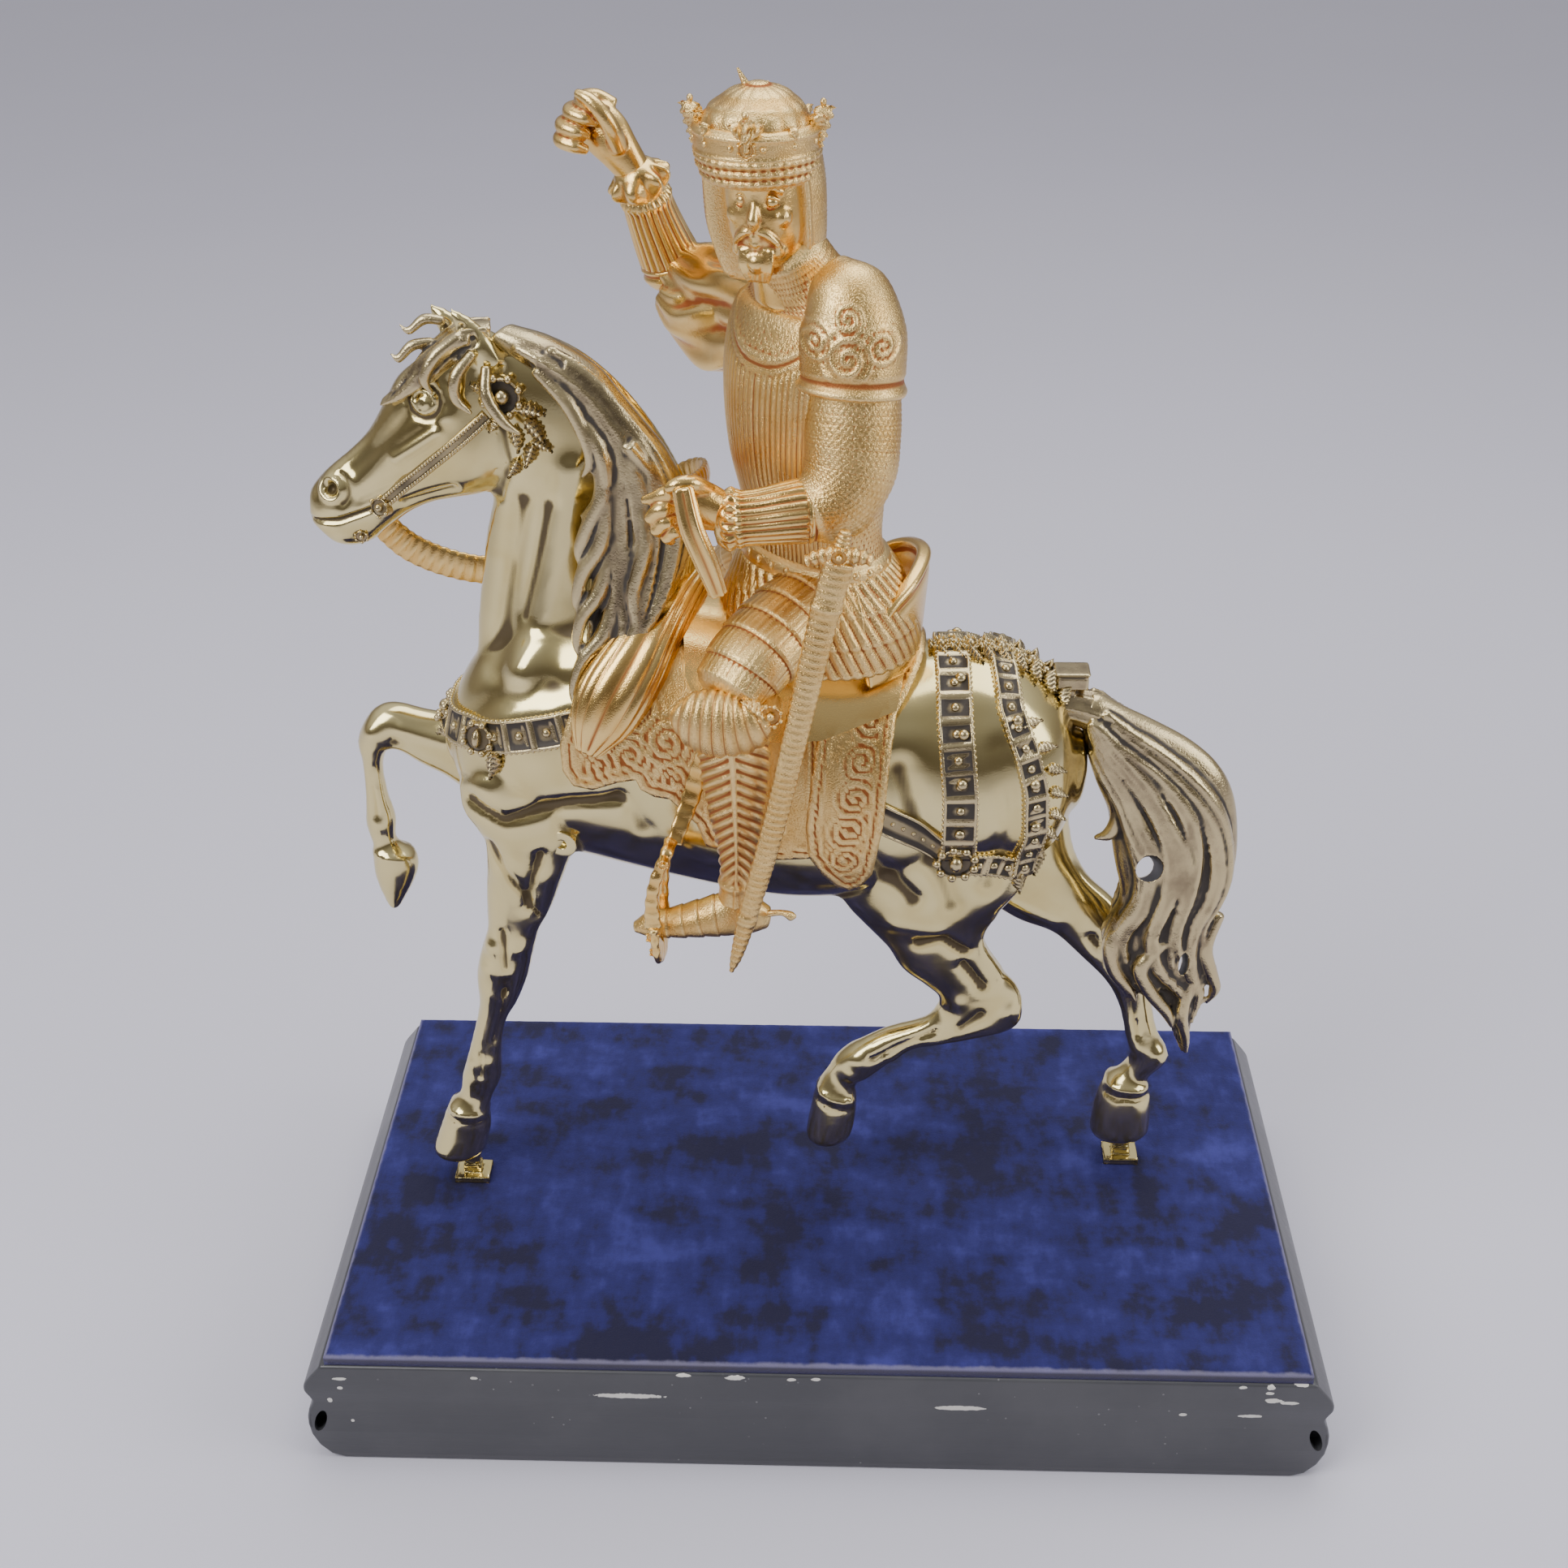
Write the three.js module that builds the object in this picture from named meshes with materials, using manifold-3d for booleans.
// A crowned knight on a walking horse, in gilt and polished brass, on an ebonised plinth with a
// velvet top. Millimetres, +Z up, the horse faces -X, the origin is the middle of the underside.

import * as THREE from "three";
import { mergeVertices } from "three/addons/utils/BufferGeometryUtils.js";
import Module from "manifold-3d";

const wasm = await Module();
wasm.setup();

// Driving dimensions
const VELVET_WIDTH = 340;
const VELVET_DEPTH = 196;
const VELVET_THICKNESS = 5;
const BASE_TOP = 49;
const MOULDING_REACH = 8.5;
const SLOT_ANGLE = 0.3;
const GAP = 0.3;
const HORSE_Y = 7;
const LUG_SIZE = [13, 11, 2.4];
const CHEST_TURN = 0.7;
const FACE_TURN = 1.3;
const CLOTH = 3.2;
const STRAP = 2;

// Vectors and sections

const UP = new THREE.Vector3(0, 0, 1);
const ACROSS = new THREE.Vector3(0, 1, 0);
const ALONG = new THREE.Vector3(1, 0, 0);

function point(x, y, z) {
  return new THREE.Vector3(x, y, z);
}

// A section between two outline points of a limb that lies in a plane of constant y.
function flat(row) {
  const [ax, az, bx, bz, y, w] = row;
  return { a: point(ax, y, az), b: point(bx, y, bz), w };
}

// A level section of the rider's body, turned by an angle about the vertical.
function level(row, turn) {
  const [x, y, z, halfWidth, halfDepth] = row;
  const side = point(Math.sin(turn), -Math.cos(turn), 0).multiplyScalar(halfWidth);
  const middle = point(x, y, z);
  return { a: middle.clone().sub(side), b: middle.clone().add(side), w: halfDepth };
}

// Sections of a tube along a list of rows: x, y, z, half-height, half-width.
function along(rows, reference = ACROSS) {
  return rows.map(([x, y, z, half, w = half], i) => {
    const next = rows[Math.min(i + 1, rows.length - 1)];
    const last = rows[Math.max(i - 1, 0)];
    const run = point(next[0] - last[0], next[1] - last[1], next[2] - last[2]).normalize();
    const lift = new THREE.Vector3().crossVectors(run, reference).normalize().multiplyScalar(half);
    const middle = point(x, y, z);
    return { a: middle.clone().sub(lift), b: middle.clone().add(lift), w };
  });
}

function middleOf(section) {
  return section.a.clone().add(section.b).multiplyScalar(0.5);
}

function signedVolume(positions, index) {
  let sum = 0;
  const corner = [0, 1, 2].map(() => new THREE.Vector3());
  for (let i = 0; i < index.length; i += 3) {
    corner.forEach((c, k) => c.fromArray(positions, index[i + k] * 3));
    sum += corner[0].dot(corner[1].clone().cross(corner[2]));
  }
  return sum;
}

// A closed skin over sections. Lobes are round ribs that run along it, as in hair or flutes.
function loft(sections, { sides = 12, grow = 0, power = 2, lobes = 0, relief = 0, cap = 0.35 } = {}) {
  const positions = [];
  const index = [];
  const last = sections.length - 1;
  const middles = sections.map(middleOf);
  const runs = middles.map((m, i) =>
    middles[Math.min(i + 1, last)].clone().sub(middles[Math.max(i - 1, 0)]).normalize());
  sections.forEach((section, i) => {
    const reach = section.b.clone().sub(middles[i]);
    const half = reach.length();
    const lateral = new THREE.Vector3().crossVectors(runs[i], reach).normalize();
    reach.normalize();
    for (let s = 0; s < sides; s += 1) {
      const t = (s / sides) * 2 * Math.PI;
      const rib = 1 + relief * Math.cos(lobes * t);
      const c = Math.sign(Math.cos(t)) * Math.abs(Math.cos(t)) ** (2 / power) * rib;
      const d = Math.sign(Math.sin(t)) * Math.abs(Math.sin(t)) ** (2 / power) * rib;
      middles[i].clone()
        .addScaledVector(reach, c * (half + grow))
        .addScaledVector(lateral, d * (section.w + grow))
        .toArray(positions, positions.length);
    }
  });
  for (let i = 0; i < last; i += 1) {
    for (let s = 0; s < sides; s += 1) {
      const p = i * sides + s;
      const q = i * sides + ((s + 1) % sides);
      index.push(p, q, p + sides, q, q + sides, p + sides);
    }
  }
  [0, last].forEach((i) => {
    const pole = positions.length / 3;
    const small = Math.min(sections[i].w, sections[i].b.distanceTo(middles[i]));
    middles[i].clone()
      .addScaledVector(runs[i], (i === 0 ? -1 : 1) * (small * cap + grow))
      .toArray(positions, positions.length);
    for (let s = 0; s < sides; s += 1) {
      const p = i * sides + s;
      const q = i * sides + ((s + 1) % sides);
      index.push(...(i === 0 ? [pole, q, p] : [pole, p, q]));
    }
  });
  if (signedVolume(positions, index) < 0) index.reverse();
  return solid(positions, index);
}

function solid(positions, index) {
  return new wasm.Manifold(new wasm.Mesh({
    numProp: 3,
    vertProperties: Float32Array.from(positions),
    triVerts: Uint32Array.from(index),
  }));
}

// A three.js geometry as a solid.
function solidOf(geometry) {
  const bare = geometry.index ? geometry.toNonIndexed() : geometry.clone();
  Object.keys(bare.attributes).filter((n) => n !== "position").forEach((n) => bare.deleteAttribute(n));
  const merged = mergeVertices(bare, 1e-4);
  return solid(merged.attributes.position.array, merged.index.array);
}

// The triangles of the largest connected shell, so that a casting is one solid with no closed voids.
function outerShell(positions, index) {
  const parent = Array.from({ length: positions.length / 3 }, (_, i) => i);
  const root = (v) => {
    let at = v;
    while (parent[at] !== at) {
      parent[at] = parent[parent[at]];
      at = parent[at];
    }
    return at;
  };
  for (let i = 0; i < index.length; i += 3) {
    parent[root(index[i + 1])] = root(index[i]);
    parent[root(index[i + 2])] = root(index[i]);
  }
  const shells = new Map();
  for (let i = 0; i < index.length; i += 3) {
    const key = root(index[i]);
    if (!shells.has(key)) shells.set(key, []);
    shells.get(key).push(index[i], index[i + 1], index[i + 2]);
  }
  const sized = [...shells.values()].map((shell) => ({ shell, volume: signedVolume(positions, shell) }));
  return sized.sort((one, other) => other.volume - one.volume)[0].shell;
}

function geometryOf(manifold) {
  const mesh = manifold.getMesh();
  const geometry = new THREE.BufferGeometry();
  geometry.setAttribute("position", new THREE.Float32BufferAttribute(mesh.vertProperties, 3));
  geometry.setIndex(outerShell(mesh.vertProperties, mesh.triVerts));
  return geometry;
}

// The same solid without its closed voids.
function filled(manifold) {
  const mesh = manifold.getMesh();
  return solid(mesh.vertProperties, outerShell(mesh.vertProperties, mesh.triVerts));
}

function join(...solids) {
  return solids.flat().reduce((all, one) => all.add(one));
}

// A block whose outline is drawn in x and z and which runs from y0 to y1.
function slab(outline, y0, y1) {
  const shape = new THREE.Shape(outline.map(([x, z]) => new THREE.Vector2(x, z)));
  const geometry = new THREE.ExtrudeGeometry(shape, { depth: y1 - y0, bevelEnabled: false });
  geometry.rotateX(Math.PI / 2);
  geometry.translate(0, y1, 0);
  return solidOf(geometry);
}

function box(x, y, z, sx, sy, sz) {
  return solidOf(new THREE.BoxGeometry(sx, sy, sz).translate(x, y, z));
}

// A low round boss with its flat back at a point, facing along a direction.
function boss(x, y, z, radius, height, towards, segments = 12) {
  const profile = [[0, -height], [radius, -height], [radius, 0], [radius * 0.62, height * 0.75], [0, height]];
  const geometry = new THREE.LatheGeometry(profile.map(([r, h]) => new THREE.Vector2(r, h)), segments);
  geometry.applyQuaternion(new THREE.Quaternion().setFromUnitVectors(ACROSS, towards.clone().normalize()));
  geometry.translate(x, y, z);
  return solidOf(geometry);
}

// The same sections on the far side of the horse.
function mirrored(sections) {
  return sections.map(({ a, b, w }) => ({
    a: point(a.x, 2 * HORSE_Y - a.y, a.z),
    b: point(b.x, 2 * HORSE_Y - b.y, b.z),
    w,
  }));
}

function bothSides(rows, options) {
  return [loft(rows, options), loft(mirrored(rows), options)];
}

// Heights below are measured from the velvet, so a group lifts everything onto the plinth.

// Plinth: the moulded end profile, right half, from the top of the wood to the underside.
const END_PROFILE = [
  [VELVET_WIDTH / 2 + 1.5, -VELVET_THICKNESS],
  [VELVET_WIDTH / 2 + 7.6, -13],
  [VELVET_WIDTH / 2 + MOULDING_REACH, -15.5],
  [VELVET_WIDTH / 2 + 8.1, -18],
  [VELVET_WIDTH / 2 + 6, -21.5],
  [VELVET_WIDTH / 2 + 7.6, -26],
  [VELVET_WIDTH / 2 + MOULDING_REACH, -33],
  [VELVET_WIDTH / 2 + 7.8, -38],
  [VELVET_WIDTH / 2 + 5.6, -43],
  [VELVET_WIDTH / 2 + 2, -47],
  [VELVET_WIDTH / 2 - 4, -BASE_TOP],
];

function plinth() {
  const left = END_PROFILE.map(([x, z]) => [-x, z]).reverse();
  const reach = VELVET_DEPTH / 2 + 1;
  const body = slab([...END_PROFILE, ...left], -reach, reach);
  const slots = [-1, 1].map((side) => {
    const slot = new THREE.CylinderGeometry(2, 2, 10, 12).rotateX(Math.PI / 2).scale(1, 1, 2.6);
    slot.rotateY(side * SLOT_ANGLE).translate(side * (VELVET_WIDTH / 2 + 3.8), -reach, -31);
    return solidOf(slot);
  });
  return slots.reduce((all, slot) => all.subtract(slot), body);
}

// Horse: rows are bottom x, bottom z, top x, top z, y, half-width unless a comment says otherwise.
const TRUNK = [
  [-126.5, 178, -126.5, 197, 7, 8],
  [-121, 165, -121, 211, 7, 18],
  [-111, 154, -111, 224, 7, 25],
  [-97, 148, -97, 236, 7, 30],
  [-80, 144, -80, 240, 7, 33],
  [-58, 138, -58, 238, 7, 34.5],
  [-36, 133, -36, 233, 7, 36.5],
  [-14, 129.5, -14, 228, 7, 38],
  [8, 130, 8, 223, 7, 37],
  [26, 134, 26, 221, 7, 35],
  [42, 138, 42, 221.5, 7, 35],
  [58, 141, 58, 221, 7, 34.5],
  [70, 144, 70, 215, 7, 31],
  [79, 150, 80, 205, 7, 24],
  [85, 162, 86, 192, 7, 14],
].map(flat);

// Front of the neck to its crest.
const NECK = [
  [-118.7, 196, -45, 226, 7, 26],
  [-118.5, 206, -42, 240, 7, 20],
  [-116, 220, -41.5, 262, 7, 15.5],
  [-114.5, 234, -44, 279, 7, 13],
  [-112, 249, -49.5, 292, 7, 12],
  [-110, 261, -57, 304, 7, 11.5],
  [-108, 269, -66, 315, 7, 11.5],
  [-106.5, 275, -75.5, 323, 7, 11.5],
  [-107, 281, -85, 328, 7, 11],
  [-109.8, 289, -95, 331, 7, 9.5],
].map(flat);

// Jaw to forehead, from the poll to the lips.
const HEAD = [
  [-100, 282, -101, 328, 7, 9],
  [-108, 277, -108.7, 331, 7, 11.5],
  [-114, 275.5, -118, 328, 7, 12.5],
  [-120, 274.5, -126.5, 321, 7, 12],
  [-126.5, 273, -134, 315, 7, 11.5],
  [-133, 270, -138.3, 308, 7, 10.4],
  [-138.7, 266, -145, 297, 7, 8.8],
  [-142.5, 263, -152, 290, 7, 8],
  [-147.2, 259.2, -158.8, 284.5, 7, 7.8],
  [-154, 257.5, -163.3, 280, 7, 7.6],
  [-159.5, 259.2, -166, 276, 7, 6.6],
  [-163.4, 263, -166.4, 271, 7, 4.4],
].map(flat);

// Legs: front of the leg to its rear.
const NEAR_FORELEG = [
  [-123, 178, -78, 190, -9, 12],
  [-121.7, 169, -80, 172, -12, 11.5],
  [-117, 161.5, -82, 160.5, -13, 9.6],
  [-115, 153.5, -85.5, 151.5, -12, 8.6],
  [-117.1, 130, -94, 128, -9, 7],
  [-117.8, 117.5, -99, 117.8, -7.5, 6.4],
  [-121.4, 105.7, -102.3, 106, -6, 7.6],
  [-123.6, 95, -105.2, 94.7, -5, 7.4],
  [-123.7, 83, -109.8, 83.2, -4, 6.2],
  [-125.6, 73.8, -114.2, 75, -4, 5.2],
  [-129.4, 59.7, -117, 61.8, -3, 5.4],
  [-132.9, 48, -118, 48.3, -2, 6.3],
  [-134.5, 39.3, -122, 38.8, -2, 5.3],
  [-138.8, 34.5, -123.8, 32, -2, 7.2],
  [-142.5, 25, -124, 23.5, -1, 8.5],
  [-147, 12.5, -126.8, 12.5, -1, 9.4],
].map(flat);

const FAR_FORELEG = [
  [-100, 205, -100, 158, 21, 14],
  [-114, 197, -116, 152, 23, 12],
  [-124, 188.5, -126.5, 155.5, 24, 9],
  [-132, 186, -134, 161.5, 24, 7.8],
  [-140, 187, -142, 166, 24, 7.2],
  [-147, 189, -148.8, 171, 24, 7],
  [-153, 189.3, -152.3, 171.8, 24, 7.2],
  [-159, 185.6, -154.5, 170.8, 24, 6.9],
  [-164.1, 176, -155.8, 166.7, 24, 5.8],
  [-163.6, 167.5, -156.2, 162.5, 24, 4.4],
  [-163.4, 155.4, -155.2, 153, 23, 4],
  [-164.3, 144.6, -153.2, 144, 23, 4.6],
  [-164.2, 138.5, -153.8, 138.2, 23, 4.4],
  [-162.8, 133, -153.8, 133.8, 23, 4.2],
  [-163.2, 129.5, -147, 127, 23, 7],
  [-163, 118, -148.4, 118.3, 23, 6],
  [-159.5, 105, -155.5, 105, 23, 2.4],
].map(flat);

const NEAR_HINDLEG = [
  [12, 176, 74, 196, -6, 16],
  [5, 160, 77, 176, -9, 15],
  [4.5, 146, 75, 158, -10.5, 13],
  [7, 134, 69.5, 141, -11, 11],
  [14.7, 123.4, 61, 128, -10, 9],
  [22.8, 113.3, 57, 117.7, -9, 7.4],
  [28, 103.3, 59.5, 109.5, -7.5, 6.8],
  [35.6, 96, 65.1, 100, -6, 6.4],
  [42, 88.8, 71.6, 90.5, -5, 6],
  [40.5, 82.7, 71, 76.6, -5, 6.3],
  [35.6, 77.5, 54, 70.6, -5, 5.6],
  [22.3, 72, 36, 66.5, -4, 5.2],
  [14, 67, 26, 59, -4, 6],
  [6.3, 60.5, 17.6, 50.6, -3, 6.2],
  [2, 53, 13, 47.6, -3, 5],
  [-1.3, 47, 13.5, 41.5, -3, 7],
  [-3.6, 37, 13.4, 35, -3, 8],
  [-5.6, 23, 12, 25, -3, 8.8],
].map(flat);

const FAR_HINDLEG = [
  [12, 176, 80, 196, 20, 16],
  [18, 156, 85, 174, 23, 14],
  [30, 140, 87, 158, 25, 12],
  [44, 126, 88, 144, 25, 10],
  [57, 113, 91, 131, 25, 8.6],
  [70, 104, 97, 121, 24, 7.6],
  [84, 98.5, 107, 111.5, 23, 6.8],
  [95, 89, 115.5, 98, 21, 6.2],
  [105, 79, 121, 84, 19, 5.8],
  [110.4, 68.3, 122.5, 70, 18, 5.2],
  [113.2, 56.8, 125.2, 58.9, 16, 5.4],
  [115.2, 48.2, 130, 48.5, 15, 6],
  [111.5, 41.8, 123.4, 39.5, 15, 5.2],
  [107, 37.7, 123.4, 36, 15, 7.2],
  [103.6, 26.8, 125, 27.4, 15, 9],
  [102.6, 13.4, 125.4, 14.4, 15, 10],
].map(flat);

// The mane hangs on the near side: front edge of the hair to its rear edge.
const MANE = [
  [-104, 326, -96, 333.5, 4, 6],
  [-92, 320, -84, 331, 0, 8],
  [-80, 311, -70, 322, -1, 9],
  [-72, 300, -62.5, 313, -2, 9.5],
  [-69.5, 291, -55, 304, -3, 9.5],
  [-72, 278, -48, 295, -4, 9.5],
  [-74.5, 262, -42, 281, -5, 9.5],
  [-75.5, 248, -41, 268, -7, 9],
  [-75.5, 234, -45, 254, -10, 9],
  [-75, 224, -52.5, 242, -13, 8.5],
  [-77, 216, -61, 231, -16, 7.5],
  [-80, 208, -69, 220, -19, 6],
  [-81.5, 198, -77, 208, -22, 3.5],
].map(flat);

const FORELOCK = [
  [-106, 326, -103, 334, 5, 7],
  [-116, 322, -112, 333, 3, 7.5],
  [-125, 315, -122, 326, 0, 6],
  [-133, 309, -131, 317, -1, 4],
  [-139, 307, -138, 311, -1, 1.6],
].map(flat);

const EARS = [
  [[-103, 0, 321, 5, 3.6], [-107, 0, 328, 5, 3.4], [-111, 0.5, 334, 3.4, 2.4], [-114.7, 1, 338.5, 0.8, 0.8]],
  [[-112, 12, 323, 4.6, 3.4], [-117, 12.5, 329, 4.2, 3], [-120.5, 13, 333, 2.8, 2], [-123.8, 13.3, 336.3, 0.7, 0.7]],
];

// Strap outlines in x and z; a strap is the part of the grown body inside its outline.
const RUMP_STRAPS = [
  [[37, 227], [48.5, 227], [49, 214], [50.5, 184], [50.5, 162], [41, 162], [39.5, 184], [37.5, 214]],
  [[20, 184], [20, 170], [40, 156], [46, 166]],
  [[54, 226], [62.5, 226], [64, 214], [68, 206], [72, 195], [75, 184], [75.5, 168], [72, 150], [64, 152],
    [67, 171], [66, 187], [64, 197], [60, 207], [56, 216]],
  [[48, 162], [48, 153], [70, 146], [70, 156]],
];

const BREAST_STRAP = [[-129, 203], [-129, 191.5], [-112, 194], [-76, 202.5], [-76, 213], [-112, 205]];

const GIRTH = [[-108, 170], [-108, 160], [-78, 163], [-78, 172]];

function trunk(grow) {
  return loft(TRUNK, { sides: 16, grow, power: 2.15 });
}

// The horse without its head and harness, grown by a margin when it cuts a neighbour.
function horseForm(grow) {
  return join(
    trunk(grow),
    loft(NECK, { sides: 14, grow }),
    loft(NEAR_FORELEG, { sides: 10, grow }),
    loft(FAR_FORELEG, { sides: 10, grow }),
    loft(NEAR_HINDLEG, { sides: 10, grow }),
    loft(FAR_HINDLEG, { sides: 10, grow }),
    loft(MANE, { sides: 15, lobes: 5, relief: 0.12, grow: grow * 3 }),
  );
}

// An outline with every edge moved out by a margin.
function swollen(outline, margin) {
  const shape = outline.map(([x, z]) => new THREE.Vector2(x, z));
  const side = THREE.ShapeUtils.isClockWise(shape) ? -1 : 1;
  const normal = (p, q) => new THREE.Vector2(q.y - p.y, p.x - q.x).normalize().multiplyScalar(side);
  return shape.map((p, i) => {
    const before = normal(shape[(i + shape.length - 1) % shape.length], p);
    const after = normal(p, shape[(i + 1) % shape.length]);
    const out = before.clone().add(after);
    out.multiplyScalar(margin / Math.max(0.4, 1 + before.dot(after)));
    return [p.x + out.x, p.y + out.y];
  });
}

// The harness straps lie on the body and stand out from it by their thickness.
function straps(grow = 0) {
  const skin = trunk(STRAP + grow);
  const rump = RUMP_STRAPS.map((outline) => slab(swollen(outline, grow), -60, 60).intersect(skin));
  const breast = slab(swollen(BREAST_STRAP, grow), -60, 60).intersect(trunk(STRAP + 0.6 + grow));
  const girth = slab(swollen(GIRTH, grow), -60, 60).intersect(skin);
  return [...rump, breast, girth];
}

function bridle() {
  const near = point(-0.2, -1, 0.1);
  const far = point(-0.2, 1, 0.1);
  return [
    boss(-99, HORSE_Y - 11, 308, 8, 2.4, near),
    boss(-99, HORSE_Y + 11, 308, 8, 2.4, far),
    boss(-143, HORSE_Y - 7.6, 268, 4, 1.8, near, 10),
    boss(-143, HORSE_Y + 7.6, 268, 4, 1.8, far, 10),
  ];
}

// Round bosses where the harness straps meet, on both sides.
function harnessBosses() {
  return [[45, 160, 34.6], [-112.5, 199.5, 25.5], [-86, 166, 30]].flatMap(([x, z, reach]) =>
    [-1, 1].map((side) => boss(x, HORSE_Y + side * reach, z, 6.6, 2.6, point(0, side, 0))));
}

// Small plates on stems under the two standing hooves, which fix the horse to the plinth.
function lugs() {
  const [sx, sy, sz] = LUG_SIZE;
  return [[-132, -2], [115, 15]].flatMap(([x, y]) => [
    box(x, y, sz / 2, sx, sy, sz),
    box(x, y, sz + 6, 4.6, 4.6, 13),
  ]);
}

function horse() {
  return join(
    horseForm(0),
    loft(HEAD, { sides: 12, power: 2.3 }),
    loft(FORELOCK, { sides: 8 }),
    EARS.map((rows) => loft(along(rows), { sides: 6 })),
    straps(),
    bridle(),
    harnessBosses(),
    lugs(),
  );
}

// Tail: outer edge of the hair to its inner edge, then the two gaps between its locks.
const TAIL = [
  [90.5, 206.5, 87.8, 195, 6, 6],
  [94, 206, 88.5, 186, 6, 7],
  [102, 201.5, 93, 172, 6, 8],
  [113, 196, 98, 160, 6, 9],
  [125.1, 189, 100, 148, 6, 9.5],
  [134.7, 180.8, 102, 138, 5, 10],
  [141, 170, 104, 130, 5, 10.5],
  [144.2, 156, 104, 124, 5, 10.5],
  [144.8, 141.5, 101, 118, 4, 10.5],
  [142, 129.5, 98.5, 111, 4, 10],
  [137.6, 119.8, 101, 102, 4, 9.5],
  [136.5, 108, 108, 90.5, 4, 8.5],
  [138, 95.5, 118, 86, 4, 7],
  [139, 86.5, 125, 78.5, 4, 5],
  [135.8, 73, 128.4, 68.3, 4, 3],
  [135.6, 60, 132.6, 58, 4, 1.6],
].map(flat);

const TAIL_GAPS = [
  [[113, -20, 155.5, 4.4, 4.6], [113, 40, 119.5, 4.4, 4.6]],
  [[128.5, -20, 112.5, 4.2, 1.8], [128.5, 40, 76.5, 4.2, 1.8]],
];

function tail() {
  const hair = loft(TAIL, { sides: 18, lobes: 6, relief: 0.09 });
  const dock = along([[80, 7, 201, 6], [86, 7, 200, 6.5], [92, 7, 198, 7]]);
  const tab = box(83, HORSE_Y, 210.5, 11, 9, 4.6);
  const whole = join(hair, loft(dock, { sides: 10 }), tab, box(81, HORSE_Y, 205, 6, 7, 10));
  const open = TAIL_GAPS.map((rows) => loft(along(rows, ALONG), { sides: 8 }));
  return open.reduce((all, gap) => all.subtract(gap), whole)
    .subtract(horseForm(GAP));
}

// Saddle: outlines of the cloth flaps in x and z, then the seat, front roll and cantle.
const CLOTH_OUTLINE = [
  [-38, 250], [-52, 241], [-69.5, 228.3], [-81.3, 214], [-85, 203], [-84.5, 193.5], [-81.3, 188.2], [-75, 187],
  [-66.4, 190.3], [-60.5, 191.5], [-59, 188], [-54.5, 185.5], [-49.7, 185], [-41, 176], [-38, 167], [-20, 162.5],
  [0, 164], [0, 250],
];
const REAR_FLAP = [
  [4, 250], [-3, 196], [-5, 177], [-4, 165], [1, 156], [5.5, 150.5], [9.6, 148.5], [13.5, 150.5], [17, 156], [20.2, 176],
  [22.2, 199], [24, 212], [34, 226], [34, 240],
];
const SEAT = [[-46, 250], [-44, 226], [-34, 207], [0, 207], [24, 214], [34, 250]];

// The thick ribbed roll at the front of the saddle: centre, thickness, half-width.
const FRONT_ROLL = [
  [-43, 7, 244, 6.5, 5], [-46.5, 0, 242.5, 7, 6.5], [-51, -8, 239.5, 7.2, 8], [-56, -15, 234, 7.4, 9.5],
  [-61, -20, 227.5, 7.2, 11], [-67, -24.5, 219, 6.4, 11.5], [-72, -27.5, 210, 4.6, 9.5], [-76, -29, 201, 2, 4],
];

// The cantle stands round the rider's hips: x and z of its foot, x and z of its rim, y, half-thickness.
const CANTLE = [
  [15, 222, 12.5, 240, -23, 1.6],
  [21, 222, 20.5, 249, -17.5, 2.2],
  [27, 221, 28.5, 255, -8, 2.4],
  [29.5, 221, 32.5, 258, 7, 2.4],
  [27, 221, 28.5, 255, 22, 2.4],
  [21, 222, 20.5, 249, 31.5, 2.2],
  [15, 222, 12.5, 240, 37, 1.6],
].map(flat);

function cantle() {
  return loft(CANTLE, { sides: 12, power: 4 });
}

function saddle() {
  const near = slab(CLOTH_OUTLINE, -60, 70).intersect(trunk(CLOTH + 0.8));
  const rear = slab(REAR_FLAP, -60, 70).intersect(trunk(CLOTH + 1.6));
  const seat = slab(SEAT, -60, 70).intersect(trunk(7));
  const roll = bothSides(along(FRONT_ROLL, ALONG), { sides: 12, lobes: 6, relief: 0.05 });
  return join(near, rear, seat, roll, cantle())
    .subtract(horseForm(GAP))
    .subtract(join(straps(GAP)))
    .subtract(filled(horse()));
}

// Rider: body rows are x, y, z, half-width, half-depth.
const BODY = [
  [-2, 4, 237, 34, 26],
  [-2, 4, 250, 31, 24],
  [-3, 4, 262, 25, 18],
  [-4, 4, 276, 26, 18.5],
  [-5, 4, 292, 28.5, 21],
  [-5, 4, 308, 30.5, 22],
  [-5, 4, 322, 31, 21],
  [-5, 4.5, 334, 30, 17.5],
  [-6, 5, 343, 24, 14],
  [-9, 4, 350, 15, 12.5],
  [-13, 2, 358, 12, 11.5],
].map((row) => level(row, CHEST_TURN));

const SKULL = [
  [-16, 0, 352.5, 6, 6],
  [-16.5, 0, 357, 9.5, 11],
  [-17, 0.5, 364, 12, 14],
  [-17.5, 1, 373, 12.8, 15],
  [-18, 1.5, 382, 12.8, 15],
  [-18, 2, 390, 12.5, 14.5],
].map((row) => level(row, FACE_TURN));

const HOOD = [
  [-16.5, 6.5, 350, 15, 11],
  [-17, 6.5, 357, 16.5, 11.5],
  [-18, 6, 366, 18.6, 12],
  [-18.5, 5, 380, 18.6, 13],
  [-19.5, 3.5, 389, 17.4, 14.5],
].map((row) => level(row, FACE_TURN));

const CROWN = [
  [-20.5, 2.5, 386.5, 17, 16.5],
  [-20.5, 2.5, 389, 18.2, 17.5],
  [-20.5, 2.5, 394, 18.6, 18],
  [-20.5, 2.5, 397, 17, 16.5],
  [-20, 3, 400.5, 12, 12],
  [-20, 3, 403, 6, 6],
].map((row) => level(row, FACE_TURN));

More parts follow.
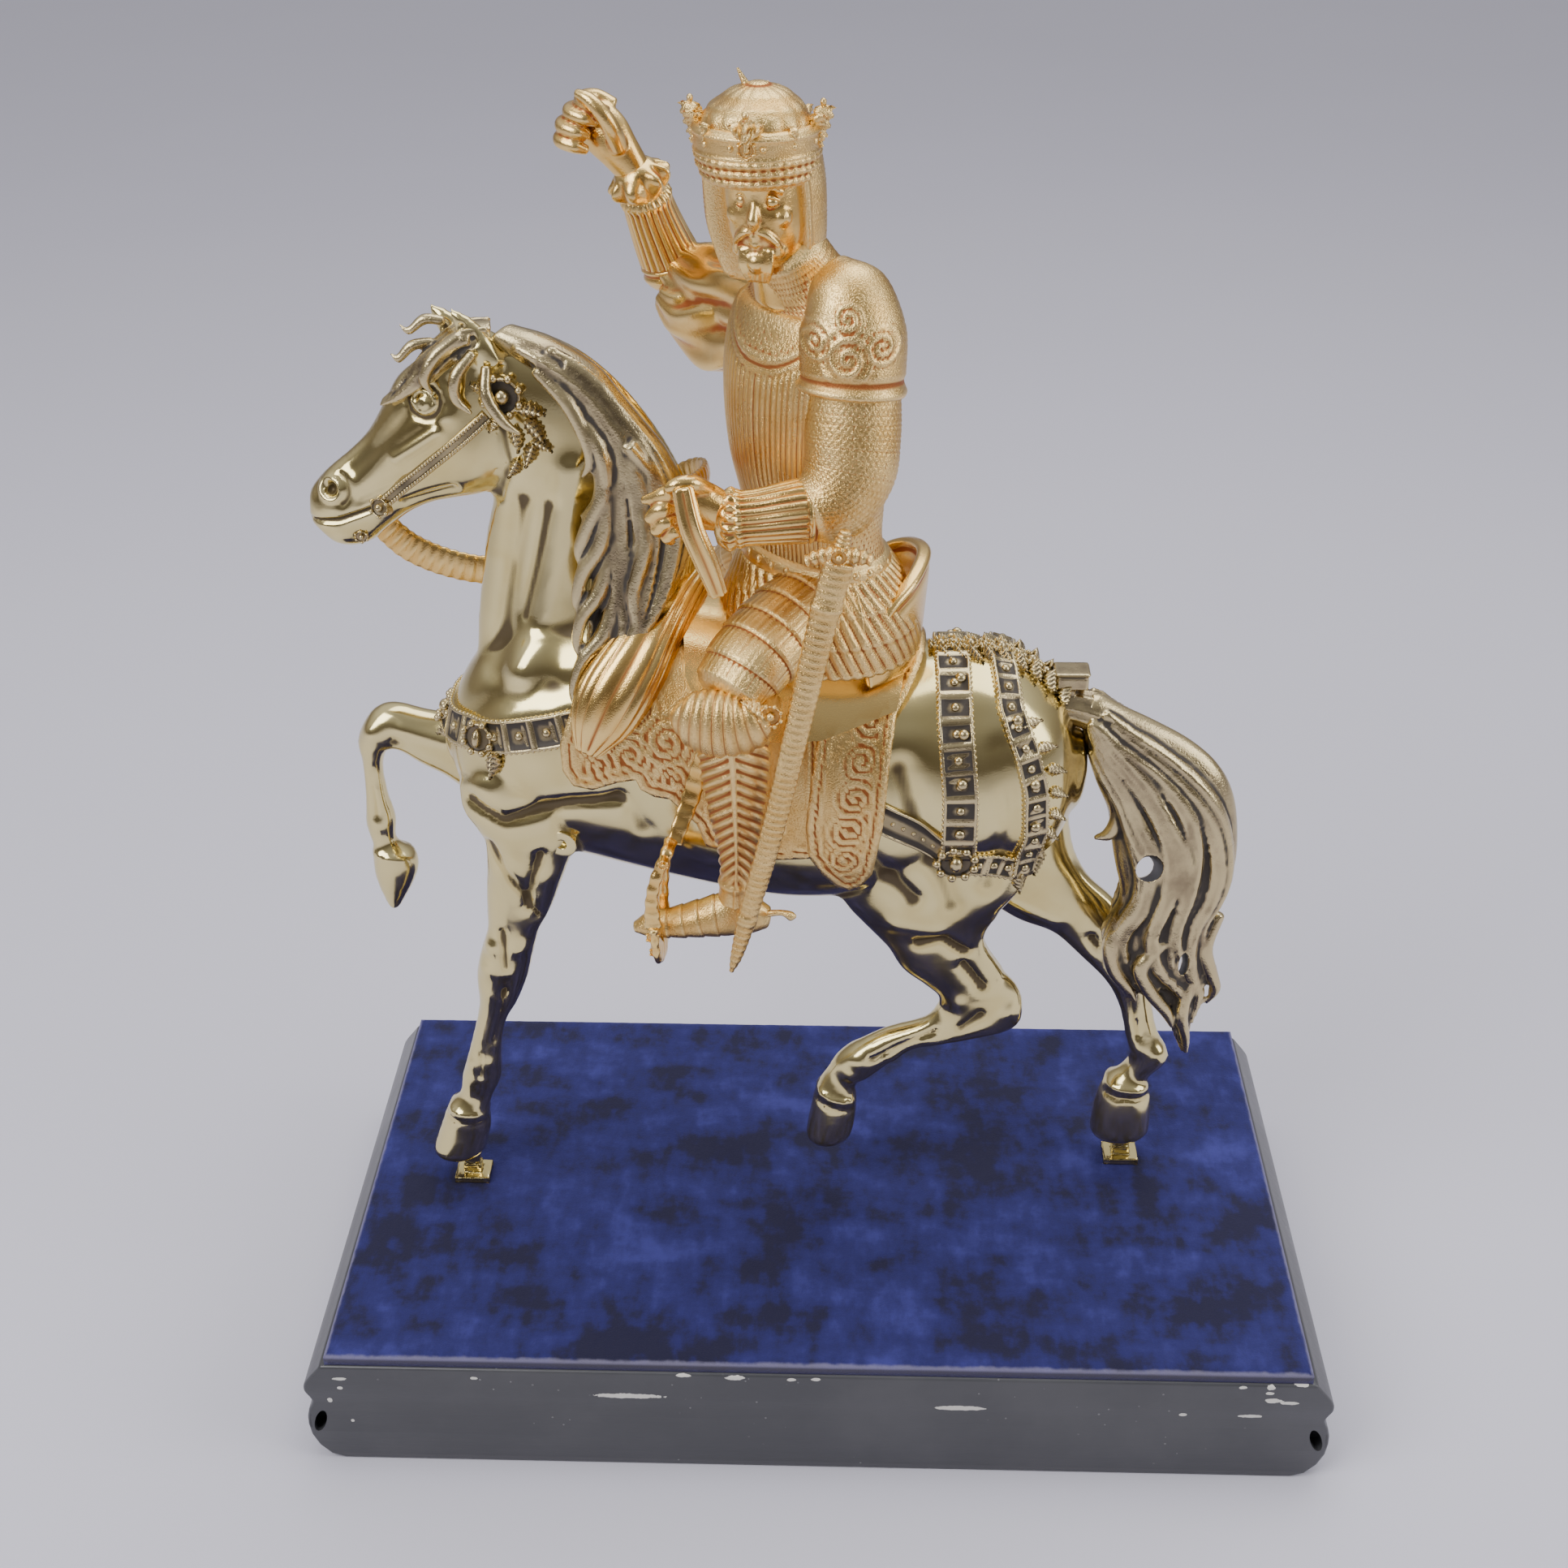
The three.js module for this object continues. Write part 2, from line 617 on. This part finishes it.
const NEAR_ARM = [
  [6, -12, 346, 9, 8],
  [9, -17, 337, 12.5, 11],
  [9.5, -20, 322, 13.2, 12],
  [8.5, -23, 308, 14.5, 12.5],
  [7.5, -26, 297, 14, 12],
  [3, -29, 288.5, 12.5, 11],
  [-5, -31, 286, 10, 9.5],
  [-16, -32, 285.5, 8.6, 8],
  [-26, -33, 284.5, 7.6, 7],
  [-30.5, -33, 284.5, 8.6, 7.8],
];

const NEAR_HAND = [
  [-30, -33, 286, 5.5, 5],
  [-36, -33.5, 289, 8, 7],
  [-43, -34, 290.5, 9.4, 8],
  [-48, -34, 290.5, 7.5, 7],
  [-54, -34, 291, 2, 2.4],
];

const FAR_ARM = [
  [-16, 22, 334, 12, 12],
  [-26, 34, 333, 13, 12],
  [-36, 46, 331, 14, 11],
  [-45, 56, 331.5, 12, 10],
  [-51, 60, 334.5, 9.5, 9],
  [-54, 57, 344, 8.4, 8.4],
  [-56.5, 53, 353, 7.6, 7.6],
  [-58.5, 50, 361, 7, 7],
  [-60, 48, 366, 8.4, 8],
  [-62, 47.5, 370, 6.5, 6],
];

const FAR_SLEEVE = [
  [-22, 28, 326, 12, 8],
  [-32, 38, 322, 14, 9],
  [-42, 46, 321, 13, 9],
  [-50, 52, 324, 10, 8],
  [-54, 54, 328, 5, 5],
];

const FAR_HAND = [
  [-62, 47.5, 369, 5.5, 5],
  [-67, 47, 376, 6.5, 6],
  [-73, 46.5, 381.5, 8, 8],
  [-78, 46, 384.5, 7.4, 7.4],
  [-82, 46, 386, 4, 5],
];

const LEG = [
  [-4, -14, 248, 14, 13],
  [-14, -26, 243, 14, 12],
  [-24, -37, 236, 13, 11],
  [-30, -43.5, 228, 11, 9],
  [-31, -45.5, 219, 10, 8.5],
  [-28.5, -45.5, 210, 10.8, 8],
  [-27.5, -45, 199, 10.2, 8],
  [-27, -44, 186, 8.6, 7],
  [-27.5, -43, 172, 6.4, 5.8],
  [-27.8, -42.5, 161, 5, 5],
  [-28, -42, 151, 6, 5.4],
];

const FOOT = [
  [-17.5, -42, 145, 4, 3.6],
  [-22, -42, 146, 6.4, 5],
  [-29, -42, 147, 8, 5.6],
  [-38, -42, 145.5, 6.4, 6],
  [-48, -42, 143.5, 4.6, 5.6],
  [-57, -42, 142.4, 3.4, 4.4],
  [-61.5, -42, 141.4, 1.6, 2.4],
];

const KNEE = [
  [-46, -46, 224, 2.5, 3],
  [-40, -48, 223.5, 9, 6],
  [-30, -50, 222.5, 11, 7],
  [-21, -51, 224, 8, 5],
  [-16, -50.5, 227, 4, 3.5],
];

const SHOULDER_CAPE = [
  [2, -11, 352, 8, 7],
  [7, -15, 347, 13, 12],
  [8.5, -19, 337, 15.5, 13.5],
  [8.5, -21, 327, 15.4, 14],
  [8, -22, 321.5, 15.8, 14.4],
];

function crownPoints() {
  const middle = [-20.5, 2.5];
  const count = 6;
  return Array.from({ length: count }, (_, i) => {
    const t = (i / count) * 2 * Math.PI + 0.5;
    const x = middle[0] + 17.6 * Math.cos(t);
    const y = middle[1] + 17.6 * Math.sin(t);
    return loft(along([[x, y, 391, 4.6, 1.8], [x, y, 397, 4, 1.8], [x, y, 402, 1, 1]]), { sides: 6 });
  });
}

function crownSpike() {
  return loft(along([[-22, 4, 400, 2.4], [-24, 4.5, 405, 1.5], [-26, 5, 409, 0.5]]), { sides: 8 });
}

// A point on the rider's face: height, distance out from the middle of the head, and sideways.
function facePoint(z, out, side) {
  const x = -17 - out * Math.cos(FACE_TURN) + side * Math.sin(FACE_TURN);
  const y = 0.5 - out * Math.sin(FACE_TURN) - side * Math.cos(FACE_TURN);
  return [x, y, z];
}

// A plain nose and a short beard.
function features() {
  const nose = [
    [...facePoint(379, 13.4, 0), 1.4, 1.4], [...facePoint(372, 15.4, 0), 2, 2],
    [...facePoint(368.4, 16.4, 0), 2.4, 2.2], [...facePoint(366, 14.6, 0), 1.6, 1.8],
  ];
  const beard = [
    [...facePoint(363, 12.6, 0), 4.6, 6.4], [...facePoint(358, 12.4, 0), 4, 5.4],
    [...facePoint(353, 11.6, 0), 2.6, 3.4], [...facePoint(350, 10.6, 0), 1, 1.4],
  ];
  return [nose, beard].map((rows) => loft(along(rows, point(1, -0.5, 0)), { sides: 8 }));
}

// Four curled fingers across the raised fist, which once held a weapon.
function farFingers() {
  const knuckles = [[-73, 389], [-77, 386], [-80, 382], [-81.5, 377.5]];
  return knuckles.map(([x, z]) => loft(along([
    [x + 5, 53, z - 3, 2.2], [x - 1, 50, z, 2.6], [x - 3, 44, z + 0.4, 2.6], [x + 2, 39.5, z - 2, 2.4],
  ], UP), { sides: 6 }));
}

function farSide(rows) {
  return rows.map(([x, y, z, a, b]) => [x, 2 * HORSE_Y - y, z, a, b]);
}

function leg(rows, knee, foot) {
  return [
    loft(along(rows, ALONG), { sides: 10 }),
    loft(along(knee), { sides: 10 }),
    loft(along(foot), { sides: 8 }),
  ];
}

function saddleClearance() {
  const roll = bothSides(along(FRONT_ROLL, ALONG), { sides: 12, grow: GAP + 0.6 });
  return join(trunk(7 + GAP), roll, loft(CANTLE, { sides: 12, power: 4, grow: GAP + 0.1 }));
}

function rider() {
  return join(
    loft(BODY, { sides: 16, power: 2.2 }),
    loft(HOOD, { sides: 12 }),
    loft(SKULL, { sides: 12, cap: 0.2 }),
    loft(CROWN, { sides: 14, cap: 0.3 }),
    crownPoints(),
    crownSpike(),
    features(),
    loft(along(NEAR_ARM), { sides: 10 }),
    loft(along(SHOULDER_CAPE), { sides: 12 }),
    loft(along(NEAR_HAND), { sides: 8 }),
    loft(along(FAR_ARM), { sides: 10 }),
    loft(along(FAR_SLEEVE, ALONG), { sides: 8 }),
    loft(along(FAR_HAND), { sides: 8 }),
    farFingers(),
    leg(LEG, KNEE, FOOT),
    leg(farSide(LEG), farSide(KNEE), farSide(FOOT)),
  ).subtract(saddleClearance());
}

// Sword in its scabbard, hung at the near side from belt height past the foot.
const SCABBARD = [
  [5, -50, 278, 4.6, 2.6],
  [1, -51, 262, 4.4, 2.6],
  [-6, -53.5, 230, 4, 2.4],
  [-14.5, -55, 190, 3.6, 2.2],
  [-23, -55, 156, 3, 2],
  [-27, -55, 140, 2, 1.6],
  [-29, -55, 133, 0.6, 0.6],
];
const CROSS_GUARD = [[-4, -50, 279.5, 2], [5, -50, 281, 2.6], [14, -50, 279.5, 2]];
const GRIP = [[5, -50, 280, 2.2], [6, -50, 285, 2.4], [7, -50, 288, 1.4]];

function sword() {
  return join(
    loft(along(SCABBARD), { sides: 8 }),
    loft(along(CROSS_GUARD), { sides: 8 }),
    loft(along(GRIP), { sides: 8 }),
  );
}

// Rein: a flat strap from the far side of the bit round the neck to the rider's near hand.
const REIN = [
  [-146, 17, 260, 1.2, 4.4],
  [-138, 21, 250, 1.3, 4.8],
  [-126, 24, 243, 1.3, 5],
  [-112, 25.5, 240, 1.3, 5],
  [-96, 26, 243, 1.3, 5],
  [-80, 26, 251, 1.3, 5],
  [-64, 25, 262, 1.3, 5],
  [-52, 22, 272, 1.3, 4.8],
  [-43, 15, 280, 1.3, 4.4],
  [-38.5, 6, 284, 1.3, 4.2],
  [-38, -6, 286.5, 1.3, 4.2],
  [-40, -17, 288.5, 1.3, 4.2],
  [-41.5, -25, 290, 1.3, 4],
];

// The rein's loose end, gripped in the near fist: upper end, then the lower hanging end.
const REIN_END = [
  [-41.5, -42.5, 298, 3, 2.4],
  [-39, -45.4, 287, 3.4, 2.6],
  [-35, -45.6, 276, 3.4, 2.6],
  [-31.5, -44.5, 265, 2.6, 2.2],
];

function rein() {
  const strap = loft(along(REIN, UP), { sides: 8, power: 3 });
  return strap.subtract(horseForm(GAP));
}

// Stirrup: a leather, two curved sides and a tread under the foot.
const LEATHER = [
  [-35.5, -34.8, 208, 3, 0.9],
  [-38, -35.2, 202, 3, 0.9],
  [-42, -36.6, 189, 3, 0.9],
  [-46, -41, 179, 2.6, 0.9],
  [-47.5, -43, 175, 2.4, 0.9],
];

function stirrup(side) {
  const at = (x, y, z, a, b) => [x, side < 0 ? y : 2 * HORSE_Y - y, z, a, b];
  const ring = [at(-50, -50, 172, 2.2, 1.4), at(-54.5, -51, 162, 2, 1.4), at(-54.5, -51.2, 149, 2.8, 1.8)];
  const inner = [at(-49, -36, 169, 1.6, 1.2), at(-52, -35.6, 156, 1.6, 1.2), at(-52.5, -35.6, 140, 2, 1.4)];
  const tread = [
    at(-54.5, -51.2, 148, 3.8, 1.8), at(-53.5, -50.2, 137.4, 4, 1.4), at(-52.5, -42, 134, 4.4, 1.4),
    at(-52.5, -34.6, 137.8, 3.4, 1.4),
  ];
  const bow = [at(-50, -50, 171, 2, 1.4), at(-48.5, -43, 175.5, 2.2, 1.6), at(-49, -36, 169, 2, 1.4)];
  return join(
    loft(along(LEATHER.map((row) => at(...row))), { sides: 8, power: 3 }),
    loft(along(ring), { sides: 8 }),
    loft(along(inner), { sides: 8 }),
    loft(along(tread, ALONG), { sides: 8 }),
    loft(along(bow, ALONG), { sides: 8 }),
  );
}

const FINISHES = {
  ebonised_wood: { color: 0x25262b, roughness: 0.35, metalness: 0 },
  velvet: { color: 0x14184a, roughness: 0.95, metalness: 0 },
  polished_brass: { color: 0xa58a45, roughness: 0.2, metalness: 1 },
  gilding: { color: 0xd79b3c, roughness: 0.35, metalness: 1 },
};

function meshOf(name, shape, finish) {
  const mesh = new THREE.Mesh(geometryOf(shape), new THREE.MeshStandardMaterial(FINISHES[finish]));
  mesh.name = name;
  return mesh;
}

const knight = new THREE.Group();
const raised = new THREE.Group();
raised.position.z = BASE_TOP;
knight.add(raised);

const velvet = box(0, 0, -VELVET_THICKNESS / 2, VELVET_WIDTH, VELVET_DEPTH, VELVET_THICKNESS);
raised.add(meshOf("plinth", plinth(), "ebonised_wood"));
raised.add(meshOf("velvet_pad", velvet, "velvet"));
raised.add(meshOf("horse", horse(), "polished_brass"));
raised.add(meshOf("tail", tail(), "polished_brass"));
raised.add(meshOf("saddle", saddle(), "gilding"));
raised.add(meshOf("rider", rider(), "gilding"));
raised.add(meshOf("sword", sword(), "gilding"));
raised.add(meshOf("rein", rein(), "gilding"));
raised.add(meshOf("rein_end", loft(along(REIN_END), { sides: 8 }), "gilding"));
raised.add(meshOf("stirrup_near", stirrup(-1), "gilding"));
raised.add(meshOf("stirrup_far", stirrup(1), "gilding"));

export default knight;
